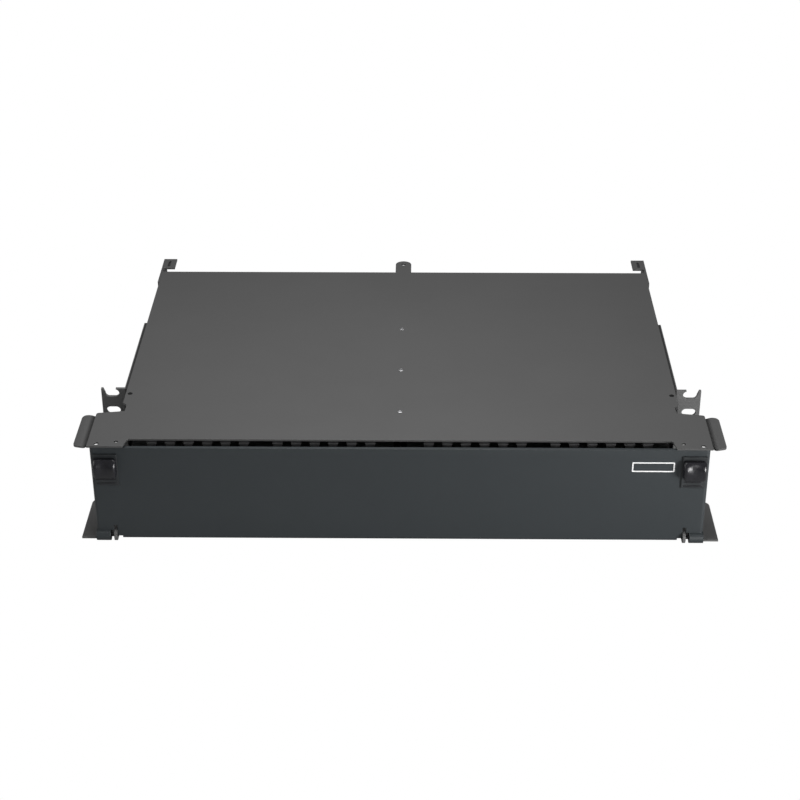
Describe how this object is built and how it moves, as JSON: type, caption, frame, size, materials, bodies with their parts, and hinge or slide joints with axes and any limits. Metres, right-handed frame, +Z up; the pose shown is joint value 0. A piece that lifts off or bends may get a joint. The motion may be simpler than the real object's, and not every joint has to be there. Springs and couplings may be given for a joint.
{
  "type": "fibre enclosure",
  "caption": "Rack-mounted fibre optic enclosure with a drop-down door, slide latches, cord shoulders and split sliding trays of cassettes.",
  "frame": {"origin": "centre of the four rack screw slots, on the back face of the ears, which lies on the rack's rails", "axes": "X to the right as seen from the front, Y to the back of the rack, Z up"},
  "size_m": [0.499, 0.3462, 0.0879],
  "materials": {
    "case_steel": "fine satin black powder coat",
    "bracket_steel": "fine satin black powder coat",
    "door_steel": "fine satin black powder coat",
    "screw_steel": "black oxide",
    "rivet_steel": "bright zinc",
    "spring_steel": "spring wire",
    "latch_plastic": "gloss black moulding",
    "guide_plastic": "matt black moulding",
    "tray_plastic": "matt black moulding",
    "cassette_plastic": "matt black moulding",
    "adapter_plastic": "matt black moulding"
  },
  "bodies": {
    "enclosure": {"top_cover": "case_steel", "base_pan": "case_steel", "bracket_left": "bracket_steel", "bracket_right": "bracket_steel", "bracket_screws": "screw_steel", "cord_guard_left": "case_steel", "cord_guard_right": "case_steel", "rivets": "rivet_steel", "centre_divider": "case_steel", "centre_guide_left": "guide_plastic", "centre_guide_right": "guide_plastic", "side_guide_left": "guide_plastic", "side_guide_right": "guide_plastic", "rear_bracket_left": "case_steel", "rear_bracket_right": "case_steel", "hinge_pins": "screw_steel"},
    "door": {"door_panel": "door_steel", "latch_housing_left": "latch_plastic", "latch_housing_right": "latch_plastic", "latch_spring_left": "spring_steel", "latch_spring_right": "spring_steel"},
    "latch_left": {"latch_left": "latch_plastic"},
    "latch_right": {"latch_right": "latch_plastic"},
    "tray_left_1": {"tray_left_1": "tray_plastic", "cassettes_left_1": "cassette_plastic", "adapters_left_1": "adapter_plastic"},
    "tray_right_1": {"tray_right_1": "tray_plastic", "cassettes_right_1": "cassette_plastic", "adapters_right_1": "adapter_plastic"},
    "tray_left_2": {"tray_left_2": "tray_plastic", "cassettes_left_2": "cassette_plastic", "adapters_left_2": "adapter_plastic"},
    "tray_right_2": {"tray_right_2": "tray_plastic", "cassettes_right_2": "cassette_plastic", "adapters_right_2": "adapter_plastic"},
    "tray_left_3": {"tray_left_3": "tray_plastic", "cassettes_left_3": "cassette_plastic", "adapters_left_3": "adapter_plastic"},
    "tray_right_3": {"tray_right_3": "tray_plastic", "cassettes_right_3": "cassette_plastic", "adapters_right_3": "adapter_plastic"},
    "tray_left_4": {"tray_left_4": "tray_plastic", "cassettes_left_4": "cassette_plastic", "adapters_left_4": "adapter_plastic"},
    "tray_right_4": {"tray_right_4": "tray_plastic", "cassettes_right_4": "cassette_plastic", "adapters_right_4": "adapter_plastic"},
    "tray_left_5": {"tray_left_5": "tray_plastic", "cassettes_left_5": "cassette_plastic", "adapters_left_5": "adapter_plastic"},
    "tray_right_5": {"tray_right_5": "tray_plastic", "cassettes_right_5": "cassette_plastic", "adapters_right_5": "adapter_plastic"},
    "tray_left_6": {"tray_left_6": "tray_plastic", "cassettes_left_6": "cassette_plastic", "adapters_left_6": "adapter_plastic"},
    "tray_right_6": {"tray_right_6": "tray_plastic", "cassettes_right_6": "cassette_plastic", "adapters_right_6": "adapter_plastic"}
  },
  "joints": [
    {"name": "door_hinge", "type": "hinge", "parent": "enclosure", "child": "door", "pos_m": [0, -0.0904, -0.03995], "axis": [1, 0, 0], "range_deg": [0, 95]},
    {"name": "latch_left_slide", "type": "slide", "parent": "door", "child": "latch_left", "axis": [0, 0, -1], "range_m": [0, 0.005], "stiffness_N_per_m": 300, "springref_m": -0.01, "deforming": ["latch_spring_left"]},
    {"name": "latch_right_slide", "type": "slide", "parent": "door", "child": "latch_right", "axis": [0, 0, -1], "range_m": [0, 0.005], "stiffness_N_per_m": 300, "springref_m": -0.01, "deforming": ["latch_spring_right"]},
    {"name": "tray_left_1_slide", "type": "slide", "parent": "enclosure", "child": "tray_left_1", "axis": [0, 1, 0], "range_m": [-0.0015, 0.075]},
    {"name": "tray_right_1_slide", "type": "slide", "parent": "enclosure", "child": "tray_right_1", "axis": [0, 1, 0], "range_m": [-0.0015, 0.075]},
    {"name": "tray_left_2_slide", "type": "slide", "parent": "enclosure", "child": "tray_left_2", "axis": [0, 1, 0], "range_m": [-0.0015, 0.075]},
    {"name": "tray_right_2_slide", "type": "slide", "parent": "enclosure", "child": "tray_right_2", "axis": [0, 1, 0], "range_m": [-0.0015, 0.075]},
    {"name": "tray_left_3_slide", "type": "slide", "parent": "enclosure", "child": "tray_left_3", "axis": [0, 1, 0], "range_m": [-0.0015, 0.075]},
    {"name": "tray_right_3_slide", "type": "slide", "parent": "enclosure", "child": "tray_right_3", "axis": [0, 1, 0], "range_m": [-0.0015, 0.075]},
    {"name": "tray_left_4_slide", "type": "slide", "parent": "enclosure", "child": "tray_left_4", "axis": [0, 1, 0], "range_m": [-0.0015, 0.075]},
    {"name": "tray_right_4_slide", "type": "slide", "parent": "enclosure", "child": "tray_right_4", "axis": [0, 1, 0], "range_m": [-0.0015, 0.075]},
    {"name": "tray_left_5_slide", "type": "slide", "parent": "enclosure", "child": "tray_left_5", "axis": [0, 1, 0], "range_m": [-0.0015, 0.075]},
    {"name": "tray_right_5_slide", "type": "slide", "parent": "enclosure", "child": "tray_right_5", "axis": [0, 1, 0], "range_m": [-0.0015, 0.075]},
    {"name": "tray_left_6_slide", "type": "slide", "parent": "enclosure", "child": "tray_left_6", "axis": [0, 1, 0], "range_m": [-0.0015, 0.075]},
    {"name": "tray_right_6_slide", "type": "slide", "parent": "enclosure", "child": "tray_right_6", "axis": [0, 1, 0], "range_m": [-0.0015, 0.075]}
  ]
}
